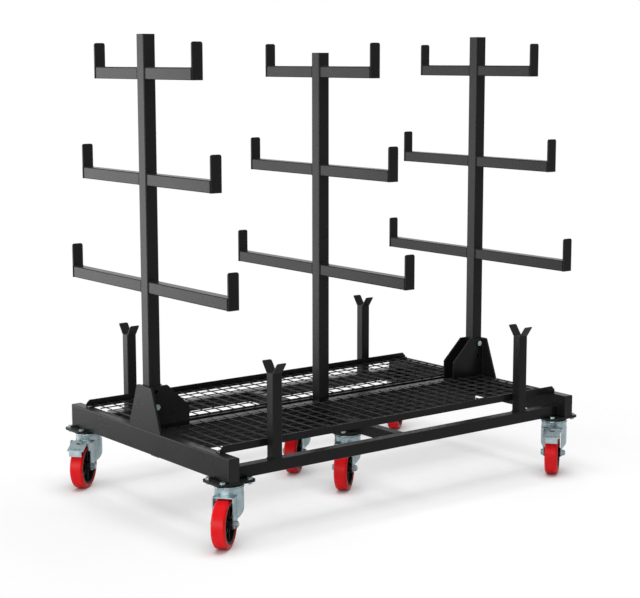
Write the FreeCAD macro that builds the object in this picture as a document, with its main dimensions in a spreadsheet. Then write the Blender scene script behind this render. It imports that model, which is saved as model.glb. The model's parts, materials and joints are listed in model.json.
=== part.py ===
import FreeCAD, Part
import math
import os
import Sketcher
from FreeCAD import Placement, Rotation, Vector

# A pipe cart: a welded box-section base on six swivel castors, three masts with cross arms
# that carry long pipes on both sides, four vee rests on stub posts, and a two-panel wire deck.
# X runs along the cart, Y across it and Z up. The origin is on the floor, under the middle of
# the cart's bounding box. Lengths are millimetres and angles degrees.

DIMENSIONS = {
    # the base's centre, seen from the origin
    "base_x": 28.265,
    "base_y": 28.986,
    # base frame
    "base_length": 1546.0,
    "base_width": 1010.0,
    "beam_width": 40.0,
    "beam_height": 80.0,
    "centre_beam_height": 100.0,
    "rail_size": 40.0,
    "rail_inset": 53.0,
    "cross_beam_offset": 13.0,
    "tube_wall": 3.0,
    "tube_corner": 4.0,
    "cap_clearance": 0.2,
    # masts and their arms
    "mast_size": 45.0,
    "middle_mast_offset": 21.0,
    "end_mast_length": 1319.0,
    "middle_mast_length": 1259.0,
    "arm_size": 40.0,
    "low_arm_rise": 466.0,
    "mid_arm_rise": 825.0,
    "top_arm_rise": 1172.0,
    "low_arm_reach": 494.0,
    "mid_arm_reach": 405.0,
    "top_arm_reach": 306.0,
    "upstand_height": 120.0,
    "upstand_thickness": 6.0,
    "upstand_corner": 8.0,
    # sockets of the two end masts
    "socket_height": 150.0,
    "end_plate_thickness": 8.0,
    "end_plate_foot": 200.0,
    "end_plate_head": 90.0,
    "end_plate_corner": 8.0,
    "side_plate_thickness": 6.0,
    "side_plate_length": 154.0,
    "side_plate_flat": 68.0,
    "side_plate_toe": 68.0,
    "socket_clearance": 1.0,
    "low_hole_rise": 79.0,
    "high_hole_rise": 131.0,
    "socket_hole_radius": 6.5,
    "socket_bolt_radius": 6.0,
    # stub posts with vee rests
    "stub_size": 37.0,
    "stub_length": 282.0,
    "stub_spacing": 1106.0,
    "stub_offset": 5.0,
    "prong_width": 36.0,
    "prong_rise": 36.0,
    "prong_flare": 25.0,
    "prong_thickness": 4.0,
    "prong_corner": 5.0,
    # wire deck
    "deck_end_gap": 17.0,
    "deck_edge_inset": 75.0,
    "deck_gap": 36.0,
    "angle_leg": 25.0,
    "angle_thickness": 3.0,
    "edge_chamfer": 14.0,
    "wire_radius": 2.0,
    "wire_pitch": 50.0,
    "wire_end_gap": 18.0,
    "wire_clearance": 0.05,
    "deck_screw_radius": 4.0,
    "deck_hole_radius": 4.3,
    "deck_screw_inset": 9.0,
    # castor fixing
    "castor_inset": 37.0,
    "middle_castor_spacing": 298.0,
    "castor_height": 204.0,
    "castor_heading": 220.0,
    "mount_thickness": 4.0,
    "plate_thickness": 4.0,
    "plate_length": 140.0,
    "plate_width": 110.0,
    "plate_corner": 14.0,
    "bolt_spacing_x": 105.0,
    "bolt_spacing_y": 80.0,
    "plate_bolt_radius": 5.0,
    "plate_hole_radius": 5.5,
    # castor swivel and fork
    "boss_radius": 34.0,
    "boss_depth": 12.0,
    "kingpin_radius": 7.0,
    "kingpin_head_radius": 12.0,
    "kingpin_head_height": 7.0,
    "running_clearance": 0.05,
    "swivel_gap": 1.0,
    "dome_radius": 46.5,
    "dome_height": 29.0,
    "dome_bevel": 6.0,
    "fork_sheet": 4.0,
    "fork_radius": 47.5,
    "fork_waist": 70.0,
    "fork_neck_round": 12.0,
    "crown_clearance": 4.0,
    "crown_round": 3.0,
    "fork_front_drop": 30.0,
    "fork_foot": 14.0,
    "fork_foot_round": 11.0,
    # wheel
    "wheel_radius": 80.0,
    "wheel_width": 50.0,
    "tyre_shoulder": 6.0,
    "tyre_bevel": 9.0,
    "tyre_round": 6.0,
    "tyre_taper": 3.0,
    "tyre_depth": 15.0,
    "trail": 62.0,
    "core_width": 43.0,
    "core_rim": 8.0,
    "core_web": 12.0,
    "core_rib": 5.0,
    "core_rib_width": 34.0,
    "hub_radius": 17.0,
    "hub_clearance": 1.0,
    "axle_radius": 6.0,
    "axle_head_height": 7.5,
    "axle_head_radius": 11.0,
    "axle_nut_height": 10.0,
    # brake
    "pedal_width": 60.0,
    "pedal_lip_width": 46.0,
    "pedal_sheet": 3.0,
    "pedal_pivot_back": 12.0,
    "pedal_pivot_rise": 6.0,
    "pedal_barrel": 7.0,
    "pedal_pin_radius": 4.0,
    "pedal_reach": 52.0,
    "pedal_drop": 24.0,
    "pedal_lip": 22.0,
    "pedal_window_length": 12.0,
    "pedal_window_width": 16.0,
    "pedal_slot_length": 4.0,
    "pedal_slot_width": 8.0,
    "pedal_slot_pitch": 15.0,
    "shoe_reach": 26.0,
    "shoe_drop": 22.0,
    "shoe_length": 10.0,
    "shoe_width": 40.0,
    "ear_drop": 22.0,
    "ear_clearance": 0.5,
}

UP = Vector(0, 0, 1)
ALONG = Vector(1, 0, 0)
ACROSS = Vector(0, 1, 0)
ARM_LEVELS = ("low", "mid", "top")
CORE_RIBS = 6
HEX_SIDES = 6
HEX_HEIGHT_SHARE = 0.65
HEX_RADIUS_SHARE = 1.85

doc = FreeCAD.newDocument("pipe_cart")
sheet = doc.addObject("Spreadsheet::Sheet", "dims")
nodes = []


class Size:
    """A number that keeps the sheet expression it comes from."""

    def __init__(self, value, text):
        self.value = float(value)
        self.text = text

    def __add__(self, other):
        other = as_size(other)
        return Size(self.value + other.value, f"({self.text} + {other.text})")

    def __sub__(self, other):
        other = as_size(other)
        return Size(self.value - other.value, f"({self.text} - {other.text})")

    def __mul__(self, other):
        other = as_size(other)
        return Size(self.value * other.value, f"({self.text} * {other.text})")

    def __truediv__(self, other):
        other = as_size(other)
        return Size(self.value / other.value, f"({self.text} / {other.text})")

    def __neg__(self):
        return self * -1

    __radd__ = __add__
    __rmul__ = __mul__


class Dimensions:
    """Gives each cell of the sheet as a Size, by its alias."""

    def __init__(self, table):
        for row, (alias, value) in enumerate(table.items(), start=1):
            sheet.set(f"A{row}", alias)
            sheet.set(f"B{row}", str(value))
            sheet.setAlias(f"B{row}", alias)
            setattr(self, alias, Size(value, f"dims.{alias}"))


def as_size(number):
    return number if isinstance(number, Size) else Size(number, f"({number})")


def cosine(angle):
    return Size(math.cos(math.radians(angle.value)), f"cos({angle.text})")


def sine(angle):
    return Size(math.sin(math.radians(angle.value)), f"sin({angle.text})")


def bind(obj, path, size):
    obj.setExpression(path, as_size(size).text)


def place(obj, x, y, z, turn=0, axis=UP):
    """Put an object at x and y from the base's centre and z above the floor, turned about an axis."""
    turn = as_size(turn)
    obj.Placement = Placement(Vector(), Rotation(axis, turn.value))
    bind(obj, ".Placement.Base.x", x + d.base_x)
    bind(obj, ".Placement.Base.y", y + d.base_y)
    bind(obj, ".Placement.Base.z", z)
    if turn.value:
        bind(obj, ".Placement.Rotation.Angle", turn)


def node(obj, label):
    """Name an object as one of the cart's sub-parts."""
    obj.Label = label
    nodes.append(obj)
    return obj


def new_body(name):
    return doc.addObject("PartDesign::Body", name)


def origin_feature(body, role):
    return next(item for item in body.Origin.OriginFeatures if item.Role == role)


def new_sketch(body, plane, offset=None):
    sketch = body.newObject("Sketcher::SketchObject", f"{body.Name}_sketch")
    sketch.AttachmentSupport = (origin_feature(body, f"{plane}_Plane"), [""])
    sketch.MapMode = "FlatFace"
    if offset is not None:
        bind(sketch, ".AttachmentOffset.Base.z", offset)
    return sketch


def fix_point(sketch, geometry, point, x, y):
    """Dimension one point of a sketch from the sketch's origin."""
    for kind, size in (("DistanceX", x), ("DistanceY", y)):
        constraint = Sketcher.Constraint(kind, -1, 1, geometry, point, size.value)
        index = sketch.addConstraint(constraint)
        bind(sketch, f"Constraints[{index}]", size)


def draw_polygon(sketch, corners):
    corners = [(as_size(x), as_size(y)) for x, y in corners]
    first = sketch.GeometryCount
    last = len(corners) - 1
    for (x, y), (next_x, next_y) in zip(corners, corners[1:] + corners[:1]):
        start = Vector(x.value, y.value, 0)
        end = Vector(next_x.value, next_y.value, 0)
        sketch.addGeometry(Part.LineSegment(start, end), False)
    for index in range(len(corners)):
        following = first if index == last else first + index + 1
        sketch.addConstraint(Sketcher.Constraint("Coincident", first + index, 2, following, 1))
    for index, (x, y) in enumerate(corners):
        fix_point(sketch, first + index, 1, x, y)


def draw_box(sketch, width, height, x=0, y=0):
    x = as_size(x)
    y = as_size(y)
    half_w = width / 2
    half_h = height / 2
    draw_polygon(sketch, [(x - half_w, y - half_h), (x + half_w, y - half_h),
                          (x + half_w, y + half_h), (x - half_w, y + half_h)])


def draw_circle(sketch, x, y, radius):
    x = as_size(x)
    y = as_size(y)
    circle = Part.Circle(Vector(x.value, y.value, 0), Vector(0, 0, 1), radius.value)
    geometry = sketch.addGeometry(circle, False)
    fix_point(sketch, geometry, 3, x, y)
    index = sketch.addConstraint(Sketcher.Constraint("Radius", geometry, radius.value))
    bind(sketch, f"Constraints[{index}]", radius)


def draw_keyhole(sketch, radius, half_width, back):
    """A round front about the origin that runs into a straight slot towards +X."""
    start = math.asin(half_width.value / radius.value)
    neck = radius.value * math.cos(start)
    half = half_width.value
    circle = Part.Circle(Vector(), Vector(0, 0, 1), radius.value)
    arc = sketch.addGeometry(Part.ArcOfCircle(circle, start, 2 * math.pi - start), False)
    points = ((neck, -half), (back.value, -half), (back.value, half), (neck, half))
    corners = [Vector(x, y, 0) for x, y in points]
    lines = [sketch.addGeometry(Part.LineSegment(*ends), False) for ends in zip(corners, corners[1:])]
    low, end, high = lines
    chain = [arc, low, end, high]
    for first, second in zip(chain, chain[1:] + chain[:1]):
        sketch.addConstraint(Sketcher.Constraint("Coincident", first, 2, second, 1))
    sketch.addConstraint(Sketcher.Constraint("Coincident", arc, 3, -1, 1))
    for line in (low, high):
        sketch.addConstraint(Sketcher.Constraint("Horizontal", line))
    fix_point(sketch, end, 1, back, -half_width)
    fix_point(sketch, end, 2, back, half_width)
    index = sketch.addConstraint(Sketcher.Constraint("Radius", arc, radius.value))
    bind(sketch, f"Constraints[{index}]", radius)


def draw_hexagon(sketch, radius):
    angles = [2 * math.pi * side / HEX_SIDES for side in range(HEX_SIDES)]
    draw_polygon(sketch, [(radius * math.cos(angle), radius * math.sin(angle)) for angle in angles])


def pad(body, sketch, length, back=None):
    """Pad a sketch evenly to both sides, or by two lengths of its own."""
    feature = body.newObject("PartDesign::Pad", f"{body.Name}_pad")
    feature.Profile = sketch
    feature.SideType = "Symmetric" if back is None else "Two sides"
    bind(feature, "Length", length)
    if back is not None:
        bind(feature, "Length2", back)
    doc.recompute()
    return feature


def cut(body, sketch, length):
    """Cut a sketch evenly to both sides of its plane, and make sure that it removes something."""
    before = body.Shape.Volume
    feature = body.newObject("PartDesign::Pocket", f"{body.Name}_cut")
    feature.Profile = sketch
    feature.SideType = "Symmetric"
    bind(feature, "Length", length)
    doc.recompute()
    if body.Shape.Volume >= before:
        raise RuntimeError(f"a cut in {body.Name} removes nothing")
    return feature


def revolve(body, sketch, axis):
    feature = body.newObject("PartDesign::Revolution", f"{body.Name}_turned")
    feature.Profile = sketch
    feature.ReferenceAxis = (sketch, [axis])
    feature.Angle = 360
    doc.recompute()
    return feature


def round_edges(body, feature, chosen, radius):
    """Fillet the edges of a feature that a test function picks."""
    edges = [f"Edge{index}" for index, edge in enumerate(feature.Shape.Edges, start=1) if chosen(edge)]
    fillet = body.newObject("PartDesign::Fillet", f"{body.Name}_round")
    fillet.Base = (feature, edges)
    bind(fillet, "Radius", radius)
    doc.recompute()
    return fillet


def runs_along(edge, axis):
    ends = edge.Vertexes
    if len(ends) < 2:
        return False
    step = (ends[1].Point - ends[0].Point).normalize()
    return abs(getattr(step, axis)) > 0.999


def tube(name, width, height, length, axis):
    """A box section along an axis, centred on its own origin, with rounded outer corners."""
    plane = {"x": "YZ", "y": "XZ", "z": "XY"}[axis]
    body = new_body(name)
    outer = new_sketch(body, plane)
    draw_box(outer, width, height)
    bar = pad(body, outer, length)
    round_edges(body, bar, lambda edge: runs_along(edge, axis), d.tube_corner)
    inner = new_sketch(body, plane)
    draw_box(inner, width - 2 * d.tube_wall, height - 2 * d.tube_wall)
    cut(body, inner, length)
    return body


def plate(name, plane, corners, thickness):
    body = new_body(name)
    sketch = new_sketch(body, plane)
    draw_polygon(sketch, corners)
    pad(body, sketch, thickness)
    return body


def copy_of(source, x, y, z, turn=0, axis=UP):
    link = doc.addObject("App::Link", f"{source.Name}_copy")
    link.setLink(source)
    place(link, x, y, z, turn, axis)
    return link


def group(label, copies):
    """One sub-part made of separate pieces."""
    compound = doc.addObject("Part::Compound", label)
    compound.Links = copies
    return node(compound, label)


def hex_bolt(name, radius, length):
    """A bolt along Z: the head stands on z = 0 and the shank hangs below it."""
    head = doc.addObject("Part::Prism", f"{name}_head")
    head.Polygon = HEX_SIDES
    bind(head, "Circumradius", radius * HEX_RADIUS_SHARE)
    bind(head, "Height", radius * 2 * HEX_HEIGHT_SHARE)
    shank = doc.addObject("Part::Cylinder", f"{name}_shank")
    bind(shank, "Radius", radius)
    bind(shank, "Height", length)
    bind(shank, ".Placement.Base.z", -length)
    bolt = doc.addObject("Part::Fuse", name)
    bolt.Base = head
    bolt.Tool = shank
    return bolt


def hex_nut(name, radius):
    """A nut along Z that hangs below z = 0."""
    height = radius * 2 * HEX_HEIGHT_SHARE
    outside = doc.addObject("Part::Prism", f"{name}_outside")
    outside.Polygon = HEX_SIDES
    bind(outside, "Circumradius", radius * HEX_RADIUS_SHARE)
    bind(outside, "Height", height)
    bore = doc.addObject("Part::Cylinder", f"{name}_bore")
    bind(bore, "Radius", radius + d.running_clearance)
    bind(bore, "Height", height)
    for item in (outside, bore):
        bind(item, ".Placement.Base.z", -height)
    nut = doc.addObject("Part::Cut", name)
    nut.Base = outside
    nut.Tool = bore
    return nut


d = Dimensions(DIMENSIONS)
doc.recompute()

# Levels and places that several pieces share
beam_bottom = d.castor_height + d.mount_thickness
beam_top = beam_bottom + d.beam_height
rail_top = beam_bottom + d.rail_size
stub_top = rail_top + d.stub_length
half_length = d.base_length / 2
half_width = d.base_width / 2
beam_x = half_length - d.beam_width / 2
clear_length = d.base_length - 2 * d.beam_width
rail_y = half_width - d.rail_inset
end_plate_x = half_length - d.end_plate_thickness
end_mast_x = end_plate_x - d.socket_clearance - d.mast_size / 2
deck_length = d.base_length - 2 * d.deck_end_gap
deck_edge = half_width - d.deck_edge_inset
deck_screw_x = deck_length / 2 - d.deck_screw_inset
edge_screw_y = deck_edge - d.angle_leg / 2
inner_screw_y = d.deck_gap + d.angle_leg / 2
deck_screw_rows = (edge_screw_y, inner_screw_y)
masts = {
    "left": (-end_mast_x, d.end_mast_length),
    "middle": (-d.middle_mast_offset, d.middle_mast_length),
    "right": (end_mast_x, d.end_mast_length),
}
stub_places = [(x * d.stub_spacing / 2 - d.stub_offset, y * rail_y) for x in (-1, 1) for y in (-1, 1)]
castor_x = half_length - d.castor_inset
castor_y = half_width - d.plate_width / 2
corner_castors = {
    "front_left": (-castor_x, -castor_y),
    "front_right": (castor_x, -castor_y),
    "back_left": (-castor_x, castor_y),
    "back_right": (castor_x, castor_y),
}
middle_castors = {
    "middle_front": (-d.cross_beam_offset, -d.middle_castor_spacing / 2),
    "middle_back": (-d.cross_beam_offset, d.middle_castor_spacing / 2),
}
castors = {**corner_castors, **middle_castors}
braked_castors = ("back_left", "front_right")


def build_base():
    """End beams, rails, the centre beam and the cross beams that carry the middle castors."""
    for label, side in (("end_beam_left", -1), ("end_beam_right", 1)):
        beam = tube(label, d.beam_width, d.beam_height, d.base_width, "y")
        screw_holes = new_sketch(beam, "XY", d.beam_height / 2)
        for y in deck_screw_rows:
            for way in (-1, 1):
                draw_circle(screw_holes, side * (deck_screw_x - beam_x), way * y, d.deck_hole_radius)
        cut(beam, screw_holes, 2 * d.tube_wall)
        place(node(beam, label), side * beam_x, 0, beam_bottom + d.beam_height / 2)
    for label, side in (("front_rail", -1), ("rear_rail", 1)):
        rail = tube(label, d.rail_size, d.rail_size, clear_length, "x")
        place(node(rail, label), 0, side * rail_y, beam_bottom + d.rail_size / 2)
    centre = tube("centre_beam", d.beam_width, d.centre_beam_height, clear_length, "x")
    place(node(centre, "centre_beam"), 0, 0, beam_top - d.centre_beam_height / 2)
    inner = d.beam_width / 2
    outer = rail_y - d.rail_size / 2
    cross = tube("cross_beam", d.rail_size, d.rail_size, outer - inner, "y")
    cross_y = (inner + outer) / 2
    cross_z = beam_bottom + d.rail_size / 2
    group("cross_beams", [copy_of(cross, -d.cross_beam_offset, side * cross_y, cross_z) for side in (-1, 1)])


def build_caps():
    """Plates that close the beam ends, the mast tops and the stub posts, set flush in the tubes."""
    play = 2 * (d.tube_wall + d.cap_clearance)

    def cap(name, plane, width, height):
        body = new_body(name)
        sketch = new_sketch(body, plane)
        draw_box(sketch, width - play, height - play)
        pad(body, sketch, d.tube_wall)
        return body

    beam_cap = cap("beam_cap", "XZ", d.beam_width, d.beam_height)
    mast_cap = cap("mast_cap", "XY", d.mast_size, d.mast_size)
    stub_cap = cap("stub_cap", "XY", d.stub_size, d.stub_size)
    cap_y = half_width - d.tube_wall / 2
    cap_z = beam_bottom + d.beam_height / 2
    copies = [copy_of(beam_cap, x * beam_x, y * cap_y, cap_z) for x in (-1, 1) for y in (-1, 1)]
    for x, length in masts.values():
        copies.append(copy_of(mast_cap, x, 0, beam_top + length - d.tube_wall / 2))
    for x, y in stub_places:
        copies.append(copy_of(stub_cap, x, y, stub_top - d.tube_wall / 2))
    group("tube_caps", copies)


def build_masts():
    """Three masts, each with three pairs of arms that end in upstand plates."""
    rises = [getattr(d, f"{level}_arm_rise") for level in ARM_LEVELS]
    reaches = [getattr(d, f"{level}_arm_reach") for level in ARM_LEVELS]
    arms = []
    for level, reach in zip(ARM_LEVELS, reaches):
        length = reach - d.upstand_thickness - d.mast_size / 2
        arms.append((tube(f"{level}_arm", d.arm_size, d.arm_size, length, "y"), length))

    upstand = new_body("upstand")
    face = new_sketch(upstand, "XZ")
    draw_box(face, d.arm_size, d.upstand_height, 0, d.upstand_height / 2)
    blank = pad(upstand, face, d.upstand_thickness)
    top = d.upstand_height.value
    round_edges(upstand, blank,
                lambda edge: runs_along(edge, "y") and edge.CenterOfMass.z > top / 2, d.upstand_corner)

    for side, (x, length) in masts.items():
        label = f"mast_{side}"
        mast = tube(label, d.mast_size, d.mast_size, length, "z")
        if side != "middle":
            holes = new_sketch(mast, "XZ")
            for rise in (d.low_hole_rise, d.high_hole_rise):
                draw_circle(holes, 0, rise - length / 2, d.socket_hole_radius)
            cut(mast, holes, d.mast_size)
        place(node(mast, label), x, 0, beam_top + length / 2)

        arm_copies = []
        upstand_copies = []
        for (arm, arm_length), rise, reach in zip(arms, rises, reaches):
            arm_y = (d.mast_size + arm_length) / 2
            plate_y = reach - d.upstand_thickness / 2
            for way in (-1, 1):
                arm_copies.append(copy_of(arm, x, way * arm_y, beam_top + rise + d.arm_size / 2))
                upstand_copies.append(copy_of(upstand, x, way * plate_y, beam_top + rise))
        group(f"{side}_arms", arm_copies)
        group(f"{side}_upstands", upstand_copies)


def build_sockets():
    """Plates that box in the feet of the end masts, with a cross bolt through each mast."""
    foot = d.end_plate_foot / 2
    head = d.end_plate_head / 2
    end_plate = new_body("socket_end_plate")
    face = new_sketch(end_plate, "YZ")
    draw_polygon(face, [(-foot, 0), (foot, 0), (head, d.socket_height), (-head, d.socket_height)])
    blank = pad(end_plate, face, d.end_plate_thickness)
    middle = d.socket_height.value / 2
    round_edges(end_plate, blank,
                lambda edge: runs_along(edge, "x") and edge.CenterOfMass.z > middle, d.end_plate_corner)
    plate_x = half_length - d.end_plate_thickness / 2
    group("socket_end_plates", [copy_of(end_plate, side * plate_x, 0, beam_top) for side in (-1, 1)])

    side_plate = plate("socket_side_plate", "XZ",
                       [(0, 0), (d.side_plate_length, 0), (d.side_plate_length, d.side_plate_toe),
                        (d.side_plate_flat, d.socket_height), (0, d.socket_height)],
                       d.side_plate_thickness)
    holes = new_sketch(side_plate, "XZ")
    for rise in (d.low_hole_rise, d.high_hole_rise):
        draw_circle(holes, d.socket_clearance + d.mast_size / 2, rise, d.socket_hole_radius)
    cut(side_plate, holes, d.side_plate_thickness)
    side_y = d.mast_size / 2 + d.socket_clearance + d.side_plate_thickness / 2
    copies = [copy_of(side_plate, end * end_plate_x, way * side_y, beam_top, 0 if end < 0 else 180)
              for end in (-1, 1) for way in (-1, 1)]
    group("socket_side_plates", copies)

    grip = side_y + d.side_plate_thickness / 2
    nut_height = d.socket_bolt_radius * 2 * HEX_HEIGHT_SHARE
    bolt = hex_bolt("socket_bolt", d.socket_bolt_radius, 2 * grip + nut_height + d.socket_bolt_radius / 2)
    nut = hex_nut("socket_nut", d.socket_bolt_radius)
    copies = []
    for x, rise in ((-end_mast_x, d.low_hole_rise), (end_mast_x, d.high_hole_rise)):
        for source, y in ((bolt, -grip), (nut, grip)):
            copies.append(copy_of(source, x, y, beam_top + rise, 90, ALONG))
    group("socket_fasteners", copies)


def build_stubs():
    """Stub posts on the rails, each with two prongs bent apart to hold a pipe along the cart."""
    stub = tube("stub_post", d.stub_size, d.stub_size, d.stub_length, "z")
    middle_z = rail_top + d.stub_length / 2
    group("stub_posts", [copy_of(stub, x, y, middle_z) for x, y in stub_places])

    outer = d.stub_size / 2
    inner = outer - d.prong_thickness
    prong = new_body("vee_prong")
    side = new_sketch(prong, "YZ")
    draw_polygon(side, [(inner, 0), (outer, 0), (outer + d.prong_flare, d.prong_rise),
                        (inner + d.prong_flare, d.prong_rise)])
    blank = pad(prong, side, d.prong_width)
    middle = d.prong_rise.value / 2
    round_edges(prong, blank,
                lambda edge: runs_along(edge, "y") and edge.CenterOfMass.z > middle, d.prong_corner)
    group("vee_prongs", [copy_of(prong, x, y, stub_top, turn) for x, y in stub_places for turn in (0, 180)])


def drill_screw_holes(body, y):
    holes = new_sketch(body, "XY")
    for end in (-1, 1):
        draw_circle(holes, end * deck_screw_x, y, d.deck_hole_radius)
    cut(body, holes, 2 * d.angle_leg)


def build_deck():
    """Two wire panels on the beams, each between a raised edge angle and an inner angle."""
    half_deck = deck_length / 2
    edge = new_body("deck_edge_angle")
    rim = new_sketch(edge, "XZ")
    top = half_deck - d.edge_chamfer
    draw_polygon(rim, [(-half_deck, 0), (half_deck, 0), (half_deck, d.angle_leg - d.edge_chamfer),
                       (top, d.angle_leg), (-top, d.angle_leg), (-half_deck, d.angle_leg - d.edge_chamfer)])
    pad(edge, rim, d.angle_thickness)
    flange = new_sketch(edge, "XY", d.angle_thickness / 2)
    draw_box(flange, deck_length, d.angle_leg, 0, (d.angle_thickness - d.angle_leg) / 2)
    pad(edge, flange, d.angle_thickness)
    edge_y = deck_edge - d.angle_thickness / 2
    drill_screw_holes(edge, edge_screw_y - edge_y)
    group("deck_edge_angles", [copy_of(edge, 0, edge_y, beam_top), copy_of(edge, 0, -edge_y, beam_top, 180)])

    inner = new_body("deck_inner_angle")
    shelf = new_sketch(inner, "XY", d.angle_thickness / 2)
    draw_box(shelf, deck_length, d.angle_leg, 0, (d.angle_leg - d.angle_thickness) / 2)
    pad(inner, shelf, d.angle_thickness)
    web = new_sketch(inner, "XZ")
    web_length = clear_length - 2 * d.socket_clearance
    draw_box(web, web_length, d.angle_leg, 0, d.angle_thickness - d.angle_leg / 2)
    pad(inner, web, d.angle_thickness)
    inner_y = d.deck_gap + d.angle_thickness / 2
    drill_screw_holes(inner, inner_screw_y - inner_y)
    group("deck_inner_angles", [copy_of(inner, 0, inner_y, beam_top),
                                copy_of(inner, 0, -inner_y, beam_top, 180)])

    lower_z = beam_top + d.angle_thickness + d.wire_radius
    upper_z = lower_z + 2 * d.wire_radius + d.wire_clearance
    long_room = clear_length.value
    cross_count = int(long_room // d.wire_pitch.value) + 1
    long_start = d.deck_gap + d.angle_leg - 2 * d.wire_radius
    cross_length = deck_edge - d.deck_gap - 2 * d.angle_thickness
    long_room_y = deck_edge.value - d.angle_leg.value / 2 - long_start.value
    long_count = int(long_room_y // d.wire_pitch.value) + 1
    long_length = deck_length - 2 * d.wire_end_gap
    cross_wire = doc.addObject("Part::Cylinder", "cross_wire")
    long_wire = doc.addObject("Part::Cylinder", "long_wire")
    for wire, length in ((cross_wire, cross_length), (long_wire, long_length)):
        bind(wire, "Radius", d.wire_radius)
        bind(wire, "Height", length)
    near_y = d.deck_gap + d.angle_thickness
    for label, way in (("deck_mesh_front", -1), ("deck_mesh_rear", 1)):
        start_y = near_y if way > 0 else -near_y - cross_length
        wires = []
        for index in range(cross_count):
            x = (index - (cross_count - 1) / 2) * d.wire_pitch
            wires.append(copy_of(cross_wire, x, start_y, upper_z, -90, ALONG))
        for index in range(long_count):
            y = way * (long_start + index * d.wire_pitch)
            wires.append(copy_of(long_wire, -long_length / 2, y, lower_z, 90, ACROSS))
        group(label, wires)

    screw = hex_bolt("deck_screw", d.deck_screw_radius, d.angle_thickness + d.tube_wall)
    screw_z = beam_top + d.angle_thickness
    group("deck_screws", [copy_of(screw, end * deck_screw_x, way * y, screw_z)
                          for end in (-1, 1) for way in (-1, 1) for y in deck_screw_rows])


def build_castor_fixings():
    """Plates under the frame, the castors' own top plates, their bolts, nuts and kingpins."""
    def four_hole_plate(name, thickness):
        body = new_body(name)
        face = new_sketch(body, "XY")
        draw_box(face, d.plate_length, d.plate_width)
        blank = pad(body, face, thickness)
        round_edges(body, blank, lambda edge: runs_along(edge, "z"), d.plate_corner)
        holes = new_sketch(body, "XY")
        for x in (-1, 1):
            for y in (-1, 1):
                draw_circle(holes, x * d.bolt_spacing_x / 2, y * d.bolt_spacing_y / 2, d.plate_hole_radius)
        cut(body, holes, thickness)
        return body

    mount = four_hole_plate("castor_mount_plate", d.mount_thickness)
    mount_z = d.castor_height + d.mount_thickness / 2
    group("castor_mount_plates", [copy_of(mount, x, y, mount_z) for x, y in castors.values()])

    top = four_hole_plate("castor_top_plate", d.plate_thickness)
    boss = new_sketch(top, "XY", -d.plate_thickness / 2 - d.boss_depth / 2)
    draw_circle(boss, 0, 0, d.boss_radius)
    pad(top, boss, d.boss_depth)
    top_z = d.castor_height - d.plate_thickness / 2
    group("castor_top_plates", [copy_of(top, x, y, top_z) for x, y in castors.values()])

    plate_bottom = d.castor_height - d.plate_thickness
    nut_height = d.plate_bolt_radius * 2 * HEX_HEIGHT_SHARE
    length = d.mount_thickness + d.plate_thickness + nut_height + d.plate_bolt_radius / 2
    bolt = hex_bolt("castor_bolt", d.plate_bolt_radius, length)
    nut = hex_nut("castor_nut", d.plate_bolt_radius)
    copies = []
    for x, y in castors.values():
        for side in (-1, 1):
            for way in (-1, 1):
                bolt_x = x + side * d.bolt_spacing_x / 2
                bolt_y = y + way * d.bolt_spacing_y / 2
                copies.append(copy_of(bolt, bolt_x, bolt_y, beam_bottom))
                copies.append(copy_of(nut, bolt_x, bolt_y, plate_bottom))
    group("castor_fasteners", copies)

    boss_bottom = plate_bottom - d.boss_depth
    head_top = crown_bottom - d.swivel_gap
    kingpin = new_body("kingpin")
    shank = new_sketch(kingpin, "XY", (boss_bottom + head_top) / 2)
    draw_circle(shank, 0, 0, d.kingpin_radius)
    pad(kingpin, shank, boss_bottom - head_top)
    head = new_sketch(kingpin, "XY", head_top - d.kingpin_head_height / 2)
    draw_circle(head, 0, 0, d.kingpin_head_radius)
    pad(kingpin, head, d.kingpin_head_height)
    group("castor_kingpins", [copy_of(kingpin, x, y, 0) for x, y in castors.values()])


# Castor pieces are drawn with X along the trail and Y along the axle
crown_bottom = 2 * d.wheel_radius + d.crown_clearance
crown_top = crown_bottom + d.fork_sheet
fork_back = d.trail + d.fork_foot
hub_length = d.fork_waist - 2 * d.fork_sheet - 2 * d.hub_clearance
pivot_x = fork_back + d.pedal_pivot_back
pivot_z = crown_bottom + d.pedal_pivot_rise


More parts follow.
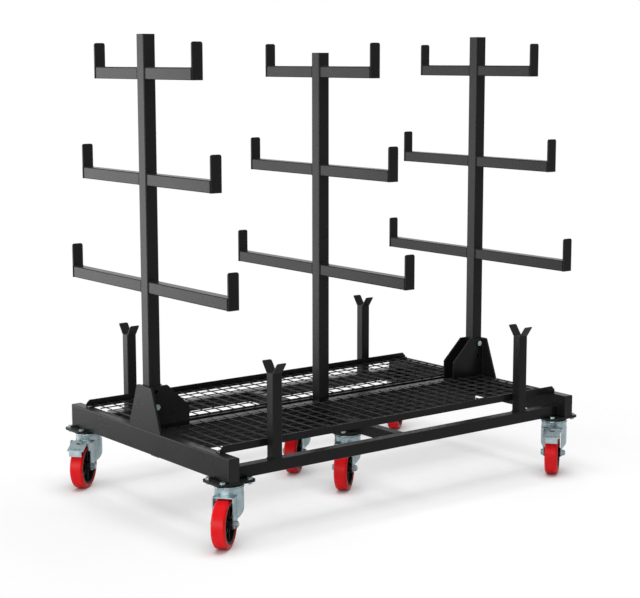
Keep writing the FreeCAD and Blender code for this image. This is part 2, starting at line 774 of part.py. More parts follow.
def build_fork(name, braked):
    """A pressed fork: a round skirt that runs into two legs, cut away below, under a swivel dome."""
    body = new_body(name)
    half_waist = d.fork_waist / 2
    foot_z = d.wheel_radius - d.fork_foot
    outside = new_sketch(body, "XY", (foot_z + crown_top) / 2)
    draw_keyhole(outside, d.fork_radius, half_waist, fork_back)
    blank = pad(body, outside, crown_top - foot_z)
    back = fork_back.value
    necked = round_edges(body, blank,
                         lambda edge: runs_along(edge, "z") and edge.CenterOfMass.x < back - 0.01,
                         d.fork_neck_round)
    top = crown_top.value
    round_edges(body, necked,
                lambda edge: edge.CenterOfMass.z > top - 0.01 and edge.CenterOfMass.x < back - 0.01,
                d.crown_round)
    inside = new_sketch(body, "XY", crown_bottom / 2)
    draw_keyhole(inside, d.fork_radius - d.fork_sheet, half_waist - d.fork_sheet, fork_back + d.fork_sheet)
    cut(body, inside, crown_bottom)

    side = new_sketch(body, "XZ")
    front = d.fork_radius + d.fork_sheet
    front_z = crown_top - d.fork_front_drop
    leg_x = d.trail - d.fork_foot
    draw_polygon(side, [(-front, front_z), (-d.fork_radius, front_z), (leg_x, d.wheel_radius),
                        (leg_x, 0), (-front, 0)])
    shaped = cut(body, side, 2 * front)
    low = foot_z.value
    round_edges(body, shaped,
                lambda edge: runs_along(edge, "y") and edge.CenterOfMass.z < low + 0.01, d.fork_foot_round)

    dome = new_sketch(body, "XZ")
    dome_top = crown_top + d.dome_height
    inner = d.dome_radius - d.fork_sheet
    lip = d.boss_radius + d.swivel_gap
    draw_polygon(dome, [(inner, crown_bottom), (d.dome_radius, crown_bottom),
                        (d.dome_radius, dome_top - d.dome_bevel), (d.dome_radius - d.dome_bevel, dome_top),
                        (lip, dome_top), (lip, dome_top - d.fork_sheet), (inner, dome_top - d.dome_bevel)])
    revolve(body, dome, "V_Axis")

    if braked:
        add_brake_ears(body)
    axle_hole = new_sketch(body, "XZ")
    draw_circle(axle_hole, d.trail, d.wheel_radius, d.axle_radius + d.running_clearance)
    cut(body, axle_hole, 2 * d.fork_waist)
    kingpin_hole = new_sketch(body, "XY", crown_bottom)
    draw_circle(kingpin_hole, 0, 0, d.kingpin_radius + d.running_clearance)
    cut(body, kingpin_hole, 4 * d.fork_sheet)
    return body


def add_brake_ears(body):
    """Two ears behind the fork's crown that hold the pin of the brake pedal."""
    ear_bottom = crown_bottom - d.ear_drop
    ear_top = pivot_z + d.pedal_barrel
    ears = new_sketch(body, "XZ")
    draw_polygon(ears, [(fork_back, ear_bottom), (fork_back, crown_top), (pivot_x - d.pedal_barrel, ear_top),
                        (pivot_x + d.pedal_barrel, ear_top),
                        (pivot_x + d.pedal_barrel + d.fork_sheet, pivot_z),
                        (pivot_x + d.fork_sheet, ear_bottom)])
    pad(body, ears, d.fork_waist)
    gap = new_sketch(body, "XZ")
    gap_end = pivot_x + 2 * d.pedal_barrel + d.fork_sheet
    draw_polygon(gap, [(fork_back, 0), (gap_end, 0), (gap_end, ear_top + d.pedal_barrel),
                       (fork_back, ear_top + d.pedal_barrel)])
    cut(body, gap, d.fork_waist - 2 * d.fork_sheet)
    pin_hole = new_sketch(body, "XZ")
    draw_circle(pin_hole, pivot_x, pivot_z, d.pedal_pin_radius + d.running_clearance)
    cut(body, pin_hole, 2 * d.fork_waist)


def build_tyre(name):
    """A tyre with rounded shoulders and sides that taper in towards the core."""
    body = new_body(name)
    half = d.wheel_width / 2
    seat = d.wheel_radius - d.tyre_depth
    right = [(half - d.tyre_taper, seat), (half, d.wheel_radius - d.tyre_bevel),
             (half - d.tyre_shoulder, d.wheel_radius)]
    left = [(-y, z) for y, z in reversed(right)]
    section = new_sketch(body, "YZ")
    draw_polygon(section, right + left)
    ring = revolve(body, section, "H_Axis")
    seat_radius = seat.value
    round_edges(body, ring, lambda edge: edge.BoundBox.XLength > 2 * seat_radius + 0.01, d.tyre_round)
    return body


def build_core(name):
    """The wheel's moulded centre: a hub, a ribbed web and the rim that carries the tyre."""
    body = new_body(name)
    bore = d.axle_radius + d.running_clearance
    seat = d.wheel_radius - d.tyre_depth - d.running_clearance
    rim = seat - d.core_rim
    web = d.core_web / 2
    rim_half = d.core_width / 2
    hub_half = hub_length / 2
    right = [(hub_half, bore), (hub_half, d.hub_radius), (web, d.hub_radius), (web, rim),
             (rim_half, rim), (rim_half, seat)]
    left = [(-y, z) for y, z in reversed(right)]
    section = new_sketch(body, "YZ")
    draw_polygon(section, right + left)
    revolve(body, section, "H_Axis")
    rib_face = new_sketch(body, "XZ")
    rib_inner = d.hub_radius - d.core_rib / 2
    rib_outer = rim + d.core_rim / 2
    draw_box(rib_face, d.core_rib, rib_outer - rib_inner, 0, (rib_inner + rib_outer) / 2)
    rib = pad(body, rib_face, d.core_rib_width)
    pattern = body.newObject("PartDesign::PolarPattern", f"{name}_ribs")
    pattern.Originals = [rib]
    pattern.Axis = (origin_feature(body, "Y_Axis"), [""])
    pattern.Angle = 360
    pattern.Occurrences = CORE_RIBS
    body.Tip = pattern
    doc.recompute()
    return body


def build_axle(name):
    """The axle bolt with its nut run up against the fork."""
    body = new_body(name)
    shank = new_sketch(body, "XZ")
    draw_circle(shank, 0, 0, d.axle_radius)
    nut_end = d.fork_waist / 2 + d.axle_nut_height + d.axle_radius / 2
    pad(body, shank, d.fork_waist / 2, nut_end)
    for height, way in ((d.axle_head_height, 1), (d.axle_nut_height, -1)):
        face = new_sketch(body, "XZ", way * (d.fork_waist + height) / 2)
        draw_hexagon(face, d.axle_head_radius)
        pad(body, face, height)
    return body


def build_pedal(name):
    """A brake pedal: a sloping foot plate on a barrel, a lip at its end and a shoe over the tread."""
    body = new_body(name)
    plate_z = pivot_z + d.pedal_barrel
    tip_x = pivot_x + d.pedal_reach
    tip_z = plate_z - d.pedal_drop
    lip_z = tip_z - d.pedal_lip
    foot = new_sketch(body, "XZ")
    draw_polygon(foot, [(pivot_x, plate_z), (tip_x, tip_z), (tip_x, tip_z - d.pedal_sheet),
                        (pivot_x, plate_z - d.pedal_sheet)])
    pad(body, foot, d.pedal_width)
    lip = new_sketch(body, "XZ")
    draw_polygon(lip, [(tip_x, tip_z), (tip_x, lip_z), (tip_x - d.pedal_sheet, lip_z),
                       (tip_x - d.pedal_sheet, tip_z)])
    pad(body, lip, d.pedal_lip_width)
    barrel = new_sketch(body, "XZ")
    draw_circle(barrel, pivot_x, pivot_z, d.pedal_barrel)
    pad(body, barrel, d.fork_waist - 2 * d.fork_sheet - 2 * d.ear_clearance)

    window_x = pivot_x + d.pedal_barrel + d.pedal_window_length / 2
    slot_x = tip_x - 2 * d.pedal_sheet - d.pedal_slot_length / 2
    openings = new_sketch(body, "XY", plate_z)
    draw_box(openings, d.pedal_window_length, d.pedal_window_width, window_x, 0)
    for way in (-1, 0, 1):
        draw_box(openings, d.pedal_slot_length, d.pedal_slot_width, slot_x, way * d.pedal_slot_pitch)
    cut(body, openings, 4 * d.pedal_drop)

    slope = d.pedal_drop / d.pedal_reach
    shoe_x = pivot_x + d.shoe_reach
    shoe_end = shoe_x + d.shoe_length
    shoe_z = pivot_z - d.shoe_drop
    under_plate = plate_z - d.pedal_sheet / 2
    shoe = new_sketch(body, "XZ")
    draw_polygon(shoe, [(shoe_x, shoe_z), (shoe_end, shoe_z),
                        (shoe_end, under_plate - (d.shoe_reach + d.shoe_length) * slope),
                        (shoe_x, under_plate - d.shoe_reach * slope)])
    pad(body, shoe, d.shoe_width)
    pin_hole = new_sketch(body, "XZ")
    draw_circle(pin_hole, pivot_x, pivot_z, d.pedal_pin_radius + d.running_clearance)
    cut(body, pin_hole, 2 * d.fork_waist)
    return body


def build_brake_pin(name):
    body = new_body(name)
    face = new_sketch(body, "XZ")
    draw_circle(face, pivot_x, pivot_z, d.pedal_pin_radius)
    pad(body, face, d.fork_waist + d.pedal_pin_radius)
    return body


def build_castors():
    """Six swivel castors that all trail the same way; two of them carry a brake."""
    turn = d.castor_heading
    trail_x = d.trail * cosine(turn)
    trail_y = d.trail * sine(turn)
    for where, (x, y) in castors.items():
        braked = where in braked_castors
        fork = build_fork(f"fork_{where}", braked)
        place(node(fork, f"fork_{where}"), x, y, 0, turn)
        for label, build in (("tyre", build_tyre), ("core", build_core), ("axle", build_axle)):
            piece = build(f"{label}_{where}")
            place(node(piece, f"{label}_{where}"), x + trail_x, y + trail_y, d.wheel_radius, turn)
        if braked:
            for label, build in (("brake_pedal", build_pedal), ("brake_pin", build_brake_pin)):
                piece = build(f"{label}_{where}")
                place(node(piece, f"{label}_{where}"), x, y, 0, turn)


def check_and_write():
    """Refuse a failed object or shape, then write one file for each sub-part."""
    doc.recompute()
    for obj in doc.Objects:
        if "Invalid" in obj.State or "Error" in obj.State:
            raise RuntimeError(f"{obj.Name} failed to build")
    os.makedirs("parts", exist_ok=True)
    for obj in nodes:
        if obj.Shape.isNull() or not obj.Shape.isValid():
            raise RuntimeError(f"{obj.Label} has no valid shape")
    for obj in nodes:
        obj.Shape.exportStep(f"parts/{obj.Label}.step")


build_base()
build_caps()
build_masts()
build_sockets()
build_stubs()
build_deck()
build_castor_fixings()
build_castors()
check_and_write()
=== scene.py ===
import json
import math

import bmesh
import bpy
from mathutils import Matrix, Vector


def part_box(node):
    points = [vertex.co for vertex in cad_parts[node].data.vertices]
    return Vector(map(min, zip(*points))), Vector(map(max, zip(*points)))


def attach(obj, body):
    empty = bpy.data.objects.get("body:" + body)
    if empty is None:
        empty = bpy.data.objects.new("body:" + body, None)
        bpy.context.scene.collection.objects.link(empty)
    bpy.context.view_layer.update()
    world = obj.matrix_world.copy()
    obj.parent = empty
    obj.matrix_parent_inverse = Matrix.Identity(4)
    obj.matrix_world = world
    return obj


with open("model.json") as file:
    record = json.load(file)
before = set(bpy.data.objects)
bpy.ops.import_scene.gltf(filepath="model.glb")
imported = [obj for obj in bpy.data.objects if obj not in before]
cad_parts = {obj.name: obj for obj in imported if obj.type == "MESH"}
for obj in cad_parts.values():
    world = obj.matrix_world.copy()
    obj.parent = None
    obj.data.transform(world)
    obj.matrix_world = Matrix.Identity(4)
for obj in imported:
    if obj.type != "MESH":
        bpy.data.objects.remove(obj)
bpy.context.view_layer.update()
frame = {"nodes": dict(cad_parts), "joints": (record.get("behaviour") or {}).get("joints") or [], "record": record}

# The view of the photograph, in metres and degrees
CAMERA_PLACE = Vector((-3.4191, -4.4092, 1.5275))
CAMERA_YAW = 37.648
CAMERA_PITCH = -8.760
CAMERA_ROLL = 0.057
IMAGE_WIDTH = 640
FOCAL_PIXELS = 1561.95
SENSOR_WIDTH = 36.0

# Finishes, as linear colours
COAT_BLACK = (0.0065, 0.0065, 0.0068)
COAT_WORN = (0.030, 0.030, 0.032)
ZINC_COOL = (0.23, 0.31, 0.335)
ZINC_WARM = (0.35, 0.415, 0.43)
ZINC_ROSE = (0.36, 0.30, 0.32)
TYRE_RED = (0.66, 0.0065, 0.0095)
TYRE_DEEP = (0.42, 0.004, 0.006)
CORE_BLACK = (0.008, 0.008, 0.009)
CAP_BLACK = (0.012, 0.012, 0.013)
PLASTIC_PALER = 2.2
BEVEL_SAMPLES = 4

# The Mix node's colour sockets share their names with its other sockets, so they go by number
MIX_FACTOR, MIX_FIRST, MIX_SECOND, MIX_RESULT = 0, 6, 7, 2

# The stage. The floor is lifted by a share of plain white, fades out between two radii and has a painted
# contact shadow close to what stands on it, where ambient occlusion cuts the lift back.
FLOOR_WHITE = (0.95, 0.95, 0.95)
FULL_WHITE = (1.0, 1.0, 1.0)
ROOM_GREY = (0.12, 0.12, 0.124)
FLOOR_LIFT = 0.5
FLOOR_CLEAR = 1.05
FLOOR_EDGE = 2.1
FLOOR_SIDES = 64
# How far the painted contact shadow reaches from what stands on the floor, in metres, and its samples
PAINTED_SHADOW_REACH = 0.09
PAINTED_SHADOW_SAMPLES = 8

# Softboxes: place, the point that it faces, width and height in metres, and watts
OVERHEAD = ((0, 0, 5.0), (0, 0, 0), 5.0, 4.4, 335)
SIDE_LIGHTS = {"left_back": ((-3.3, 4.2, 0.75), (0, 0, 0.75), 2.4, 2.6, 90),
               "left_front": ((-4.4, -1.6, 1.0), (0, 0, 0.8), 4.5, 1.8, 135)}

# Weld beads, in metres. The ends and the valleys between ripples are shares of the radius.
BEAD_RADIUS = 0.0032
BEAD_PITCH = 0.0042
BEAD_SIDES = 8
BEAD_TAPER = 0.5
BEAD_VALLEY = 0.8
BEAD_FEWEST_STEPS = 3

# The sides of a box section's end, low or high along the first or second axis across it
FLANKS = ("low_first", "high_first")
TOP_AND_FLANKS = (*FLANKS, "high_second")
ALL_SIDES = (*FLANKS, "low_second", "high_second")
X, Y, Z = range(3)

# Washers in metres, each with its inner and outer radius
WASHER_THICKNESS = 0.0016
WASHER_CHAMFER = 0.00048
WASHER_STEPS = 28
CASTOR_BOLT_WASHER = (0.0053, 0.0105)
DECK_SCREW_WASHER = (0.0043, 0.0085)
AXLE_WASHER = (0.0063, 0.0120)

# Rings on the castors, in metres, with profiles of (radius, height) points. The fork leg's outer face
# and the seat of the bush, just inside the end of the hub, are measured from the wheel's middle.
LEG_FACE = 0.0350
RACEWAY_DROP = 0.011
RACEWAY_STEPS = 48
RACEWAY_PROFILE = [(0.0462, -0.0022), (0.0474, -0.0022), (0.0482, -0.0012),
                   (0.0482, 0.0012), (0.0474, 0.0022), (0.0462, 0.0022)]
BUSH_SEAT = 0.0297
BUSH_STEPS = 32
BUSH_PROFILE = [(0.0063, 0), (0.0105, 0), (0.0105, 0.0006), (0.0098, 0.0011), (0.0063, 0.0011)]

ALL_CASTORS = ("front_left", "front_right", "back_left", "back_right", "middle_front", "middle_back")
FRAME_BODY = "cart_frame"
MERGE_DISTANCE = 1e-6
UP = Vector((0, 0, 1))


class Wire:
    """The output of a shader node. Arithmetic on it adds Math nodes to the same tree."""

    def __init__(self, nodes, socket):
        self.nodes = nodes
        self.socket = socket

    def maths(self, operation, first, second):
        return self.nodes.node("ShaderNodeMath", {"operation": operation}, {0: first, 1: second})

    def __add__(self, other):
        return self.maths("ADD", self, other)

    def __sub__(self, other):
        return self.maths("SUBTRACT", self, other)

    def __rsub__(self, other):
        return self.maths("SUBTRACT", other, self)

    def __mul__(self, other):
        return self.maths("MULTIPLY", self, other)

    __radd__ = __add__
    __rmul__ = __mul__


class Nodes:
    """A node tree that nodes are added to."""

    def __init__(self, tree):
        self.tree = tree

    def node(self, kind, settings=None, sockets=None, output=0):
        """Add a node, set it up, feed its sockets with values or wires and give back one output."""
        item = self.tree.nodes.new(kind)
        for key, value in (settings or {}).items():
            setattr(item, key, value)
        for key, value in (sockets or {}).items():
            self.feed(item.inputs[key], value)
        return Wire(self, item.outputs[output]) if item.outputs else None

    def feed(self, socket, value):
        if isinstance(value, Wire):
            self.tree.links.new(value.socket, socket)
        elif socket.type == "RGBA" and len(value) == 3:
            socket.default_value = (*value, 1)
        else:
            socket.default_value = value


class Finish(Nodes):
    """A material under construction, with its surface shader and object coordinates at hand."""

    def __init__(self, name, **constants):
        self.material = bpy.data.materials.new(name)
        self.material.use_nodes = True
        super().__init__(self.material.node_tree)
        self.surface = next(item for item in self.tree.nodes if item.type == "BSDF_PRINCIPLED")
        self.place = self.node("ShaderNodeTexCoord", output="Object")
        self.finish(**constants)

    def finish(self, **values):
        """Feed the surface shader's sockets, named with _ for each space, and give back the material."""
        for socket, value in values.items():
            self.feed(self.surface.inputs[socket.replace("_", " ")], value)
        return self.material

    def noise(self, scale, detail=2.0, roughness=0.5, stretch=None):
        vector = self.place
        if stretch is not None:
            vector = self.node("ShaderNodeMapping", sockets={"Vector": vector, "Scale": stretch})
        return self.node("ShaderNodeTexNoise", sockets={"Vector": vector, "Scale": scale, "Detail": detail,
                                                        "Roughness": roughness})

    def ramp(self, value, low, high):
        """Spread the part of a value between two levels over 0 to 1."""
        return self.node("ShaderNodeMapRange", sockets={"Value": value, "From Min": low, "From Max": high})

    def mix(self, factor, first, second):
        return self.node("ShaderNodeMix", {"data_type": "RGBA"},
                         {MIX_FACTOR: factor, MIX_FIRST: first, MIX_SECOND: second}, MIX_RESULT)

    def rounded(self, radius):
        """The normal of the surface with its edges rounded."""
        return self.node("ShaderNodeBevel", {"samples": BEVEL_SAMPLES}, {"Radius": radius})

    def edges(self, radius):
        """1 where the surface turns sharply within a radius, and 0 on the flat."""
        flat = self.node("ShaderNodeNewGeometry", output="Normal")
        alike = self.node("ShaderNodeVectorMath", {"operation": "DOT_PRODUCT"},
                          {0: self.rounded(radius), 1: flat}, "Value")
        return self.ramp(1 - alike, low=0.01, high=0.12)

    def bump(self, height, strength, depth, rounding):
        return self.node("ShaderNodeBump", sockets={"Height": height, "Strength": strength,
                                                    "Distance": depth, "Normal": self.rounded(rounding)})


def powder_coat():
    """Satin black powder coat: a fine orange peel, thinner and greyer on the edges."""
    coat = Finish("black_powder_coat", IOR=1.5, Specular_IOR_Level=0.105)
    peel = coat.noise(scale=620.0) + 0.35 * coat.noise(scale=2600.0, detail=1.0)
    cloud = coat.noise(scale=9.0, detail=4.0, roughness=0.6)
    speck = coat.ramp(coat.noise(scale=420.0, detail=3.0, roughness=0.7), low=0.66, high=0.74)
    wear = coat.edges(radius=0.0016)
    colour = coat.mix(0.18 * wear + 0.10 * speck + 0.22 * cloud, COAT_BLACK, COAT_WORN)
    return coat.finish(Base_Color=colour, Roughness=0.23 + 0.10 * cloud + 0.06 * speck,
                       Normal=coat.bump(peel, strength=0.22, depth=0.00025, rounding=0.0009))


def zinc_plating():
    """Bright zinc on pressed steel: cool grey with faint warm clouds, drawing marks and small scuffs."""
    zinc = Finish("zinc_plating", Metallic=1.0)
    cloud = zinc.noise(scale=44.0, detail=3.0, roughness=0.55)
    grain = zinc.noise(scale=900.0, roughness=0.6)
    drawn = zinc.noise(scale=160.0, roughness=0.6, stretch=(1.0, 1.0, 7.0))
    scuff = zinc.ramp(zinc.noise(scale=310.0, detail=4.0, roughness=0.75), low=0.62, high=0.72)
    bloom = zinc.ramp(zinc.noise(scale=48.0), low=0.60, high=0.75)
    colour = zinc.mix(zinc.ramp(cloud, low=0.35, high=0.70), ZINC_COOL, ZINC_WARM)
    colour = zinc.mix(0.5 * bloom, colour, ZINC_ROSE)
    return zinc.finish(Base_Color=colour, Roughness=0.23 + 0.12 * cloud + 0.06 * drawn + 0.10 * scuff,
                       Normal=zinc.bump(grain + 0.6 * drawn, strength=0.16, depth=0.0002, rounding=0.0008))


def tyre_rubber():
    """Cast red polyurethane, slightly deeper in places, with a fine moulded skin and light scuffs."""
    tyre = Finish("red_polyurethane", IOR=1.48, Specular_IOR_Level=0.14)
    cloud = tyre.noise(scale=30.0, detail=3.0)
    skin = tyre.noise(scale=1500.0)
    scuff = tyre.ramp(tyre.noise(scale=240.0, detail=4.0, roughness=0.7), low=0.60, high=0.75)
    colour = tyre.mix(0.55 * cloud + 0.18 * scuff, TYRE_RED, TYRE_DEEP)
    return tyre.finish(Base_Color=colour, Roughness=0.30 + 0.12 * cloud + 0.16 * scuff,
                       Normal=tyre.bump(skin, strength=0.12, depth=0.00015, rounding=0.003))


def moulded_plastic(name, colour, grain_scale):
    """Dark moulded plastic with a fine spark-eroded grain."""
    plastic = Finish(name, IOR=1.46, Specular_IOR_Level=0.15)
    grain = plastic.noise(scale=grain_scale, detail=3.0, roughness=0.6)
    cloud = plastic.noise(scale=14.0)
    paler = tuple(PLASTIC_PALER * part for part in colour)
    return plastic.finish(Base_Color=plastic.mix(0.4 * cloud, colour, paler), Roughness=0.45 + 0.18 * grain,
                          Normal=plastic.bump(grain, strength=0.30, depth=0.0002, rounding=0.0006))


def seen_rays(nodes):
    """1 for rays that show a surface, straight or in metal or glass, and 0 for rays that light the cart."""
    camera, glossy, through = (nodes.node("ShaderNodeLightPath", output=f"Is {ray} Ray")
                               for ray in ("Camera", "Glossy", "Transmission"))
    return camera + glossy + through


def stage_floor():
    """A white floor that keeps the cart's soft shadow, with a painted contact shadow near what stands on it, and
    fades into the background round it.
    """
    floor = Finish("stage_floor", Roughness=1.0, Specular_IOR_Level=0.0, Base_Color=FLOOR_WHITE)
    white = floor.node("ShaderNodeEmission", sockets={"Color": FULL_WHITE})
    lit = Wire(floor, floor.surface.outputs[0])
    # Painted contact shadow: ambient occlusion takes back the white lift near the wheels and whatever else stands
    # on the floor
    painted_contact_shade = floor.node("ShaderNodeAmbientOcclusion", {"samples": PAINTED_SHADOW_SAMPLES},
                          {"Distance": PAINTED_SHADOW_REACH}, "AO")
    lift = FLOOR_LIFT * painted_contact_shade * seen_rays(floor)
    pale = floor.node("ShaderNodeMixShader", sockets={0: lift, 1: lit, 2: white})
    reach = floor.node("ShaderNodeVectorMath", {"operation": "LENGTH"}, {0: floor.place}, "Value")
    fade = floor.node("ShaderNodeMapRange", {"interpolation_type": "SMOOTHSTEP"},
                      {"Value": reach, "From Min": FLOOR_CLEAR, "From Max": FLOOR_EDGE})
    clear = floor.node("ShaderNodeBsdfTransparent")
    blend = floor.node("ShaderNodeMixShader", sockets={0: fade, 1: pale, 2: clear})
    output = next(item for item in floor.tree.nodes if item.type == "OUTPUT_MATERIAL")
    floor.feed(output.inputs["Surface"], blend)
    return floor.material


COAT = powder_coat()
ZINC = zinc_plating()
TYRE = tyre_rubber()
CORE = moulded_plastic("core_plastic", CORE_BLACK, grain_scale=1100.0)
CAP = moulded_plastic("cap_plastic", CAP_BLACK, grain_scale=1600.0)
SLOT_FINISH = {"black_paint": COAT, "zinc_plate": ZINC, "red_tyre": TYRE, "wheel_core": CORE}


def dress_cad_nodes():
    """Give each CAD node the finish of its slot in the record, and the tube caps that of plastic."""
    for part in frame["record"]["subparts"]:
        finish = CAP if part["node"] == "tube_caps" else SLOT_FINISH[part["material_slot"]]
        mesh = frame["nodes"][part["node"]].data
        mesh.materials.clear()
        mesh.materials.append(finish)


def solid_boxes(node):
    """The lowest and highest corner of each separate solid in a CAD node."""
    work = bmesh.new()
    work.from_mesh(frame["nodes"][node].data)
    bmesh.ops.remove_doubles(work, verts=work.verts, dist=MERGE_DISTANCE)
    boxes = []
    taken = set()
    for seed in work.verts:
        if seed in taken:
            continue
        taken.add(seed)
        reached = [seed]
        for vert in reached:
            for edge in vert.link_edges:
                other = edge.other_vert(vert)
                if other not in taken:
                    taken.add(other)
                    reached.append(other)
        low = Vector(min(vert.co[axis] for vert in reached) for axis in (X, Y, Z))
        high = Vector(max(vert.co[axis] for vert in reached) for axis in (X, Y, Z))
        boxes.append((low, high))
    work.free()
    return boxes


def add_piece(name, work, body, finish):
    """Turn a bmesh into a smooth piece that moves with a body."""
    mesh = bpy.data.meshes.new(name)
    bmesh.ops.recalc_face_normals(work, faces=work.faces)
    work.to_mesh(mesh)
    work.free()
    mesh.materials.append(finish)
    for face in mesh.polygons:
        face.use_smooth = True
    piece = bpy.data.objects.new(name, mesh)
    bpy.context.scene.collection.objects.link(piece)
    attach(piece, body)


def facing(direction):
    """A turn that takes +Z to a direction."""
    return UP.rotation_difference(direction).to_matrix().to_4x4()


def lay_bead(work, start, end):
    """Add a rippled weld bead between two points: a ring carried along the seam in small steps."""
    run = end - start
    count = max(BEAD_FEWEST_STEPS, round(run.length / BEAD_PITCH) * 2)
    step = run / count
    bead = bmesh.new()
    bmesh.ops.create_circle(bead, cap_ends=True, radius=BEAD_RADIUS * BEAD_TAPER, segments=BEAD_SIDES,
                            matrix=Matrix.Translation(start) @ facing(run.normalized()))
    edges = list(bead.edges)
    size = BEAD_TAPER
    for index in range(1, count + 1):
        ripple = 1.0 if index % 2 else BEAD_VALLEY
        wanted = BEAD_TAPER if index == count else ripple
        grown = bmesh.ops.extrude_edge_only(bead, edges=edges)["geom"]
        verts = [item for item in grown if isinstance(item, bmesh.types.BMVert)]
        edges = [item for item in grown if isinstance(item, bmesh.types.BMEdge)]
        bmesh.ops.translate(bead, verts=verts, vec=step)
        middle = start + step * index
        bmesh.ops.scale(bead, verts=verts, vec=(wanted / size,) * 3, space=Matrix.Translation(-middle))
        size = wanted
    bmesh.ops.contextual_create(bead, geom=edges)
    mesh = bpy.data.meshes.new("bead")
    bead.to_mesh(mesh)
    bead.free()
    work.from_mesh(mesh)
    bpy.data.meshes.remove(mesh)


def seam_round(work, low, high, axis, level, sides):
    """Beads round a box section where its end at a level along one axis meets a face."""
    first, second = (index for index in (X, Y, Z) if index != axis)

    def corner(along_first, along_second):
        point = Vector()
        point[axis], point[first], point[second] = level, along_first[first], along_second[second]
        return point

    spans = {"low_first": (corner(low, low), corner(low, high)),
             "high_first": (corner(high, low), corner(high, high)),
             "low_second": (corner(low, low), corner(high, low)),
             "high_second": (corner(low, high), corner(high, high))}
    for side in sides:
        lay_bead(work, *spans[side])


def weld_masts():
    """Beads where the arms meet the masts and the upstand plates."""
    for side in ("left", "middle", "right"):
        work = bmesh.new()
        mast_low, mast_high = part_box(f"mast_{side}")
        middle = (mast_low.y + mast_high.y) / 2
        for low, high in solid_boxes(f"{side}_arms"):
            near, far = (low.y, high.y) if low.y > middle else (high.y, low.y)
            seam_round(work, low, high, Y, near, ALL_SIDES)
            seam_round(work, low, high, Y, far, TOP_AND_FLANKS)
        add_piece(f"arm_welds_{side}", work, FRAME_BODY, COAT)


def weld_base():
    """Beads on the stub posts, rails, beams and sockets."""
    work = bmesh.new()
    for low, high in solid_boxes("stub_posts"):
        seam_round(work, low, high, Z, low.z, ALL_SIDES)
    for node in ("front_rail", "rear_rail", "centre_beam"):
        low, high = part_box(node)
        for level in (low.x, high.x):
            seam_round(work, low, high, X, level, TOP_AND_FLANKS)
    for low, high in solid_boxes("cross_beams"):
        for level in (low.y, high.y):
            seam_round(work, low, high, Y, level, FLANKS)
    beam_low, beam_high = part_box("end_beam_left")
    middle = (beam_low.y + beam_high.y) / 2
    for low, high in solid_boxes("socket_side_plates"):
        outer = high.x if high.x > 0 else low.x
        face = high.y if low.y > middle else low.y
        lay_bead(work, Vector((outer, face, low.z)), Vector((outer, face, high.z)))
    add_piece("base_welds", work, FRAME_BODY, COAT)


def ring_piece(work, centre, axis, profile, steps):
    """Spin a closed profile of (radius, height) points round an axis through a centre."""
    stand = Matrix.Translation(centre) @ facing(axis)
    verts = [work.verts.new(stand @ Vector((radius, 0, height))) for radius, height in profile]
    edges = [work.edges.new((verts[index - 1], verts[index])) for index in range(len(verts))]
    bmesh.ops.spin(work, geom=verts + edges, cent=centre, axis=axis, angle=2 * math.pi, steps=steps,
                   use_merge=True, use_normal_flip=False, use_duplicate=False)


def washer(work, centre, axis, radii):
    """A flat washer with broken edges that lies on a point of a face, along an axis."""
    inner, outer = radii
    shoulder = WASHER_THICKNESS - WASHER_CHAMFER
    profile = [(inner, 0), (outer, 0), (outer, shoulder), (outer - WASHER_CHAMFER, WASHER_THICKNESS),
               (inner + WASHER_CHAMFER, WASHER_THICKNESS), (inner, shoulder)]
    ring_piece(work, centre, axis, profile, WASHER_STEPS)


def joint_named(name):
    return next(joint for joint in frame["joints"] if joint["name"] == name)


def dress_bolts():
    """Washers on the castor plates under the bolts, and on the deck angles under the screws."""
    mount_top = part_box("castor_mount_plates")[1].z
    deck_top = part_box("deck_inner_angles")[1].z
    rows = (("castor_bolt_washers", "castor_fasteners", mount_top, CASTOR_BOLT_WASHER),
            ("deck_screw_washers", "deck_screws", deck_top, DECK_SCREW_WASHER))
    for name, node, level, radii in rows:
        work = bmesh.new()
        for low, high in solid_boxes(node):
            if high.z > level:
                middle = (low + high) / 2
                washer(work, Vector((middle.x, middle.y, level)), UP, radii)
        add_piece(name, work, FRAME_BODY, ZINC)


def dress_castors():
    """Raceway rings on the swivel heads, washers on the axles and bushes in the hubs."""
    for where in ALL_CASTORS:
        swivel = Vector(joint_named(f"swivel_{where}_turn")["pos_m"])
        roll = joint_named(f"wheel_{where}_roll")
        hub = Vector(roll["pos_m"])
        axis = Vector(roll["axis"])
        fork_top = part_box(f"fork_{where}")[1].z
        raceway, washers, bushes = bmesh.new(), bmesh.new(), bmesh.new()
        seam = Vector((swivel.x, swivel.y, fork_top - RACEWAY_DROP))
        ring_piece(raceway, seam, UP, RACEWAY_PROFILE, RACEWAY_STEPS)
        for outward in (-axis, axis):
            washer(washers, hub + outward * LEG_FACE, outward, AXLE_WASHER)
            ring_piece(bushes, hub + outward * BUSH_SEAT, outward, BUSH_PROFILE, BUSH_STEPS)
        add_piece(f"raceway_ring_{where}", raceway, f"swivel_{where}", ZINC)
        add_piece(f"axle_washers_{where}", washers, f"swivel_{where}", ZINC)
        add_piece(f"hub_bush_{where}", bushes, f"wheel_{where}", ZINC)


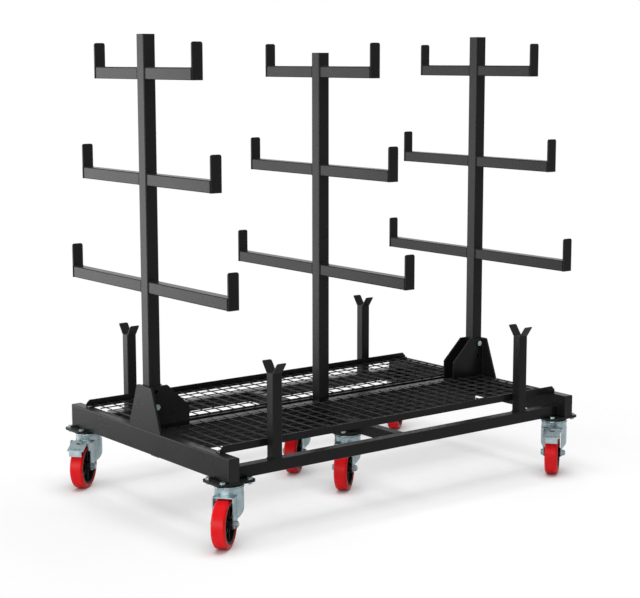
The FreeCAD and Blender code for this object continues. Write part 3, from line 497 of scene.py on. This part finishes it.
def set_stage():
    """Make the floor and the room round the cart: white where it is seen, and grey where it lights."""
    floor = bmesh.new()
    bmesh.ops.create_circle(floor, cap_ends=True, radius=FLOOR_EDGE, segments=FLOOR_SIDES)
    mesh = bpy.data.meshes.new("floor")
    floor.to_mesh(mesh)
    floor.free()
    mesh.materials.append(stage_floor())
    plane = bpy.data.objects.new("floor", mesh)
    bpy.context.scene.collection.objects.link(plane)

    world = bpy.data.worlds.new("studio")
    bpy.context.scene.world = world
    world.use_nodes = True
    world.node_tree.nodes.clear()
    room = Nodes(world.node_tree)
    dim = room.node("ShaderNodeBackground", sockets={"Color": ROOM_GREY})
    white = room.node("ShaderNodeBackground", sockets={"Color": FULL_WHITE})
    seen = room.node("ShaderNodeMixShader", sockets={0: seen_rays(room), 1: dim, 2: white})
    room.node("ShaderNodeOutputWorld", sockets={"Surface": seen})
    return plane


def softbox(name, place, target, width, height, power):
    """A rectangular lamp at a place that faces a point."""
    light = bpy.data.lights.new(name, "AREA")
    light.shape = "RECTANGLE"
    light.size = width
    light.size_y = height
    light.energy = power
    lamp = bpy.data.objects.new(name, light)
    lamp.location = place
    lamp.rotation_euler = (Vector(target) - Vector(place)).to_track_quat("-Z", "Y").to_euler()
    bpy.context.scene.collection.objects.link(lamp)
    return lamp


def set_lights(floor):
    """A large softbox overhead without highlights, and two low ones at the left that spare the floor."""
    softbox("overhead", *OVERHEAD).visible_glossy = False
    spared = bpy.data.collections.new("spared_by_side_lights")
    spared.objects.link(floor)
    spared.collection_objects[0].light_linking.link_state = "EXCLUDE"
    for name, setting in SIDE_LIGHTS.items():
        softbox(name, *setting).light_linking.receiver_collection = spared


def set_camera():
    """The camera of the photograph. Unturned it looks straight down, so 90 degrees make it level."""
    data = bpy.data.cameras.new("photo_view")
    data.sensor_fit = "HORIZONTAL"
    data.sensor_width = SENSOR_WIDTH
    data.lens = FOCAL_PIXELS / IMAGE_WIDTH * SENSOR_WIDTH
    camera = bpy.data.objects.new("photo_view", data)
    yaw = Matrix.Rotation(-math.radians(CAMERA_YAW), 4, "Z")
    pitch = Matrix.Rotation(math.radians(90 + CAMERA_PITCH), 4, "X")
    roll = Matrix.Rotation(-math.radians(CAMERA_ROLL), 4, "Z")
    camera.matrix_world = Matrix.Translation(CAMERA_PLACE) @ yaw @ pitch @ roll
    bpy.context.scene.collection.objects.link(camera)
    bpy.context.scene.camera = camera


dress_cad_nodes()
weld_masts()
weld_base()
dress_bolts()
dress_castors()
set_lights(set_stage())
set_camera()
bpy.context.scene.view_settings.view_transform = "Standard"
